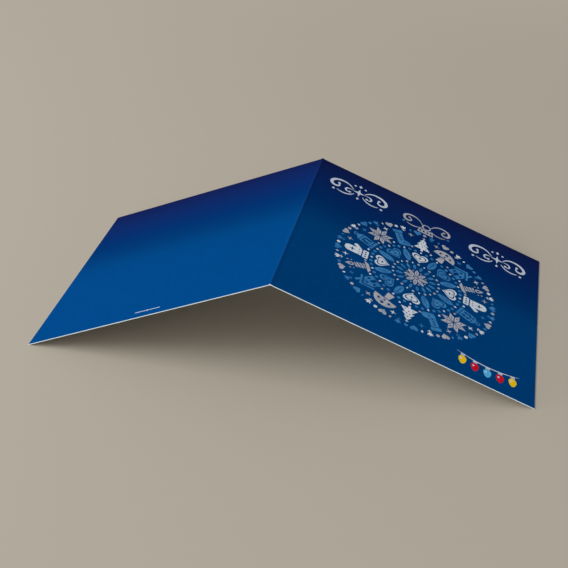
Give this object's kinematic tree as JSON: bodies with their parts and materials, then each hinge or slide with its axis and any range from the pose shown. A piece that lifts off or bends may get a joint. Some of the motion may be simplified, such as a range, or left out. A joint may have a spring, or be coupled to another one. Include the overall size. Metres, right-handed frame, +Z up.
{
  "type": "greeting card",
  "caption": "Square folded greeting card of coated board, standing open like a tent on its two free edges, printed outside and plain white inside.",
  "frame": {"origin": "on the surface that the card stands on, midway between its two free edges and midway along the fold", "axes": "+Z up, the fold runs along Y with the head of the print towards +Y, the front panel lies towards +X and the back panel towards -X"},
  "size_m": [0.2734, 0.148, 0.0573],
  "materials": {
    "printed_board": "matte",
    "bare_board": "matte",
    "white_ink": "satin",
    "light_blue_ink": "satin",
    "warm_silver_ink": "satin"
  },
  "bodies": {
    "root": {"folded_card": "printed_board"}
  },
  "joints": []
}
